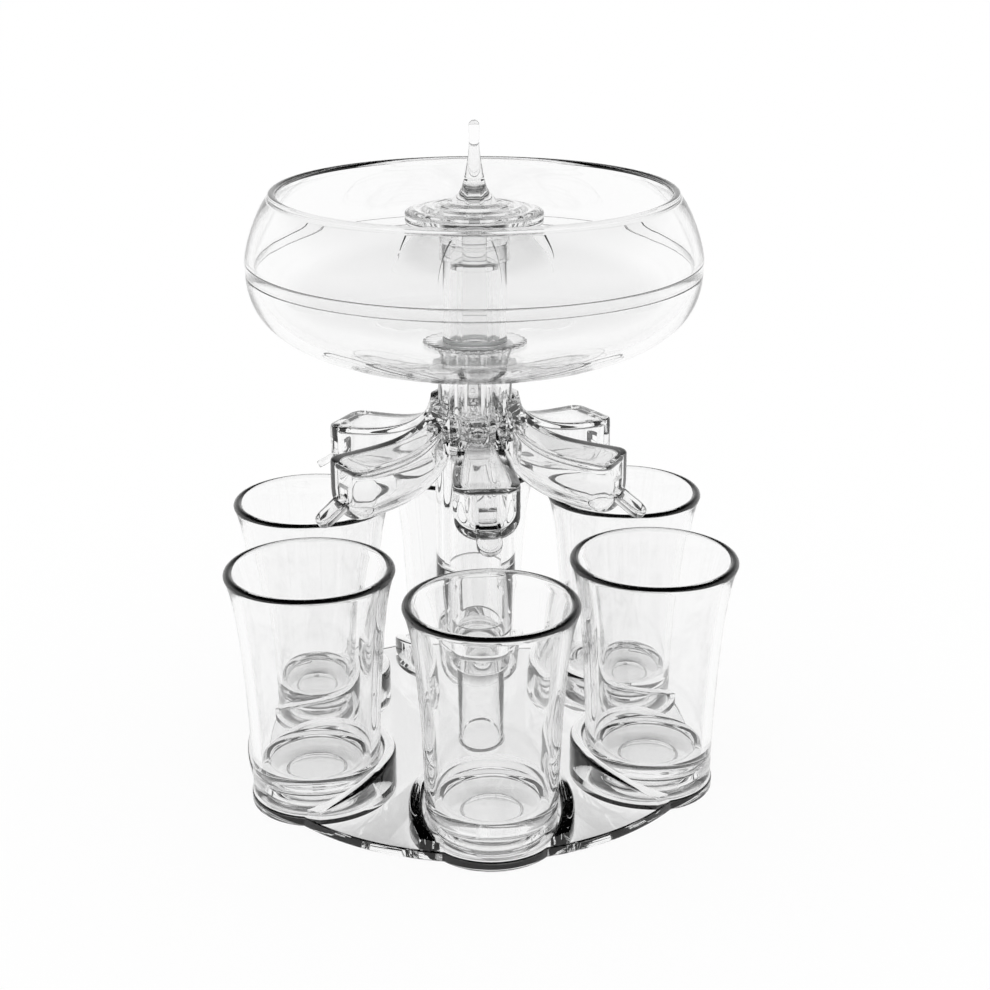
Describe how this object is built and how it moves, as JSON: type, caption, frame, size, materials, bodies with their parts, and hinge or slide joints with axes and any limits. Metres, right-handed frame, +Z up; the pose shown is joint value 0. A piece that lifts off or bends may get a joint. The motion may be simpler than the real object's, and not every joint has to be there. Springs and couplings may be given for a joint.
{
  "type": "party shot dispenser",
  "caption": "Clear plastic drink fountain: a rounded bowl on a post feeds a ring of leaf-shaped spouts, each over its own shot cup in a round tray.",
  "frame": {"origin": "centre of the tray's flat underside, on the post's axis", "axes": "+Z up along the post, -Y towards the first cup and the camera, +X to the right"},
  "size_m": [0.1422, 0.157, 0.1862],
  "materials": {
    "clear_body": "clear injection-moulded plastic, polished",
    "clear_spout": "clear injection-moulded plastic, polished",
    "clear_fountain": "clear injection-moulded plastic, polished",
    "clear_cup": "clear thick-walled moulded plastic, polished",
    "silicone": "translucent silicone rubber, satin"
  },
  "bodies": {
    "base": {"base_tray": "clear_body", "post_lower": "clear_body"},
    "dispenser": {"post_upper": "clear_body", "distributor_hub": "clear_body", "spout_1": "clear_spout", "spout_2": "clear_spout", "spout_3": "clear_spout", "spout_4": "clear_spout", "spout_5": "clear_spout", "spout_6": "clear_spout", "clamp_nut": "clear_fountain", "bowl_seal": "silicone", "bowl_lower": "clear_body", "bowl_upper": "clear_body", "guide_tube": "clear_fountain"},
    "valve": {"valve_seal": "silicone", "riser_tube": "clear_fountain", "collar": "clear_fountain", "petal_canopy": "clear_fountain", "valve_rod": "clear_fountain", "ripple_disc": "clear_fountain", "drop_finial": "clear_fountain"},
    "cup_1_body": {"cup_1": "clear_cup"},
    "cup_2_body": {"cup_2": "clear_cup"},
    "cup_3_body": {"cup_3": "clear_cup"},
    "cup_4_body": {"cup_4": "clear_cup"},
    "cup_5_body": {"cup_5": "clear_cup"},
    "cup_6_body": {"cup_6": "clear_cup"}
  },
  "joints": [
    {"name": "post_twist", "type": "hinge", "parent": "base", "child": "dispenser", "pos_m": [0, 0, 0.0595], "axis": [0, 0, 1], "range_deg": [0, 30]},
    {"name": "valve_lift", "type": "slide", "parent": "dispenser", "child": "valve", "axis": [0, 0, 1], "range_m": [0, 0.008]},
    {"name": "cup_1_lift", "type": "slide", "parent": "base", "child": "cup_1_body", "axis": [0, 0, 1], "range_m": [0, 0.009]},
    {"name": "cup_2_lift", "type": "slide", "parent": "base", "child": "cup_2_body", "axis": [0, 0, 1], "range_m": [0, 0.009]},
    {"name": "cup_3_lift", "type": "slide", "parent": "base", "child": "cup_3_body", "axis": [0, 0, 1], "range_m": [0, 0.009]},
    {"name": "cup_4_lift", "type": "slide", "parent": "base", "child": "cup_4_body", "axis": [0, 0, 1], "range_m": [0, 0.009]},
    {"name": "cup_5_lift", "type": "slide", "parent": "base", "child": "cup_5_body", "axis": [0, 0, 1], "range_m": [0, 0.009]},
    {"name": "cup_6_lift", "type": "slide", "parent": "base", "child": "cup_6_body", "axis": [0, 0, 1], "range_m": [0, 0.009]}
  ]
}
